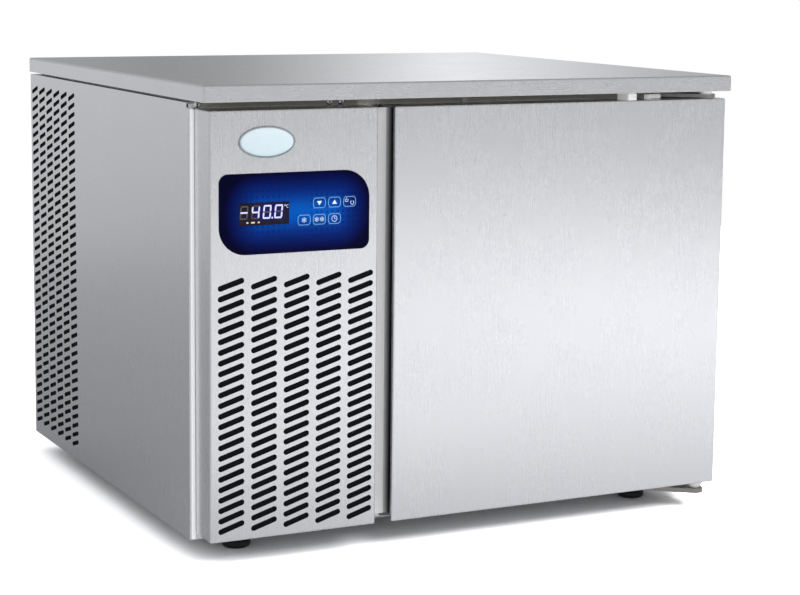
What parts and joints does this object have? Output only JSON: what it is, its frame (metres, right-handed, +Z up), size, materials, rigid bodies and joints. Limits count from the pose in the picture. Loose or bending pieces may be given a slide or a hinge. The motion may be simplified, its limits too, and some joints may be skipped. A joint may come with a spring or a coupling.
{
  "type": "counter-top blast chiller",
  "caption": "Counter-top blast chiller in sheet steel: louvred control panel with display and keys, side-hung insulated door, tray chamber and cooling unit.",
  "frame": {"origin": "on the floor plane under the middle of the overall box, which is the worktop's middle", "axes": "+X to the right seen from the front, +Y from the door to the back, +Z up"},
  "size_m": [0.66, 0.624, 0.518],
  "materials": {
    "steel_top": "fine directional grain, satin",
    "steel_case": "satin, faint vertical grain",
    "steel_front": "satin, faint vertical grain",
    "steel_liner": "bright smooth sheet",
    "zinc": "dull zinc-plated sheet",
    "steel_bright": "polished wire and rod",
    "fins": "thin bright fins",
    "coil_black": "black coated fins and sheet",
    "foam": "rigid foam",
    "board": "moisture-proof board",
    "plastic_white": "smooth, matt",
    "plastic_grey": "smooth, matt",
    "plastic_black": "fine grain",
    "grip": "satin anodised",
    "gasket": "soft, matt",
    "rubber": "matt",
    "overlay": "printed film, satin gloss",
    "display": "dark clear window",
    "badge": "domed blank plate with a bright rim",
    "board_green": "coated circuit board",
    "copper": "copper tube",
    "compressor": "black enamel",
    "box_grey": "moulded, satin"
  },
  "bodies": {
    "casing": {"worktop": "steel_top", "worktop_core": "board", "roof_panel": "zinc", "side_panel_left": "steel_case", "side_panel_right": "steel_case", "rear_panel": "steel_case", "base_plate": "zinc", "front_frame": "steel_case", "insulation_shell": "foam", "chamber_liner": "steel_liner", "thermal_break": "plastic_white", "rack_uprights": "steel_liner", "tray_runners_left": "steel_liner", "tray_runners_right": "steel_liner", "rack_studs": "steel_liner", "evaporator_baffle": "steel_liner", "evaporator_coil": "fins", "evaporator_fan_guard": "steel_bright", "evaporator_fan_motor": "plastic_black", "chamber_air_probe": "plastic_black", "hinge_plate_top": "steel_case", "hinge_plate_bottom": "zinc", "hinge_pins": "plastic_white", "hinge_screws": "zinc", "control_panel": "steel_front", "panel_brackets": "zinc", "control_overlay": "overlay", "display_window": "display", "control_board": "board_green", "badge_plate": "badge", "condenser_coil": "coil_black", "condenser_shroud": "coil_black", "condenser_fan_motor": "plastic_black", "compressor": "compressor", "compressor_mounts": "rubber", "filter_drier": "copper", "discharge_pipe": "copper", "liquid_pipe": "copper", "suction_pipe": "copper", "electrical_box": "box_grey", "mains_inlet": "plastic_black", "feet": "rubber", "casing_screws": "zinc"},
    "door": {"door_skin": "steel_front", "door_foam": "foam", "door_liner": "steel_liner", "door_grip": "grip", "door_gasket": "gasket", "door_end_caps": "plastic_grey", "door_bushes": "plastic_white", "door_switch_magnet": "plastic_white", "door_closer_roller": "plastic_white"},
    "chamber_fan": {"evaporator_fan_blades": "plastic_grey"},
    "cooling_fan": {"condenser_fan_blades": "plastic_grey"},
    "button_down": {"key_down": "overlay"},
    "button_up": {"key_up": "overlay"},
    "button_start_stop": {"key_start_stop": "overlay"},
    "button_chill": {"key_chill": "overlay"},
    "button_freeze": {"key_freeze": "overlay"},
    "button_mode": {"key_mode": "overlay"}
  },
  "joints": [
    {"name": "door_hinge", "type": "hinge", "parent": "casing", "child": "door", "pos_m": [0.3032, -0.2995, 0.26125], "axis": [0, 0, 1], "range_deg": [0, 110]},
    {"name": "chamber_fan_spin", "type": "hinge", "parent": "casing", "child": "chamber_fan", "pos_m": [0.10725, 0.12, 0.26125], "axis": [0, 1, 0], "continuous": true},
    {"name": "cooling_fan_spin", "type": "hinge", "parent": "casing", "child": "cooling_fan", "pos_m": [-0.22037, -0.182, 0.17], "axis": [0, 1, 0], "continuous": true},
    {"name": "press_down", "type": "slide", "parent": "casing", "child": "button_down", "axis": [0, 1, 0], "range_m": [0, 0.0003], "stiffness_N_per_m": 300},
    {"name": "press_up", "type": "slide", "parent": "casing", "child": "button_up", "axis": [0, 1, 0], "range_m": [0, 0.0003], "stiffness_N_per_m": 300},
    {"name": "press_start_stop", "type": "slide", "parent": "casing", "child": "button_start_stop", "axis": [0, 1, 0], "range_m": [0, 0.0003], "stiffness_N_per_m": 300},
    {"name": "press_chill", "type": "slide", "parent": "casing", "child": "button_chill", "axis": [0, 1, 0], "range_m": [0, 0.0003], "stiffness_N_per_m": 300},
    {"name": "press_freeze", "type": "slide", "parent": "casing", "child": "button_freeze", "axis": [0, 1, 0], "range_m": [0, 0.0003], "stiffness_N_per_m": 300},
    {"name": "press_mode", "type": "slide", "parent": "casing", "child": "button_mode", "axis": [0, 1, 0], "range_m": [0, 0.0003], "stiffness_N_per_m": 300}
  ]
}
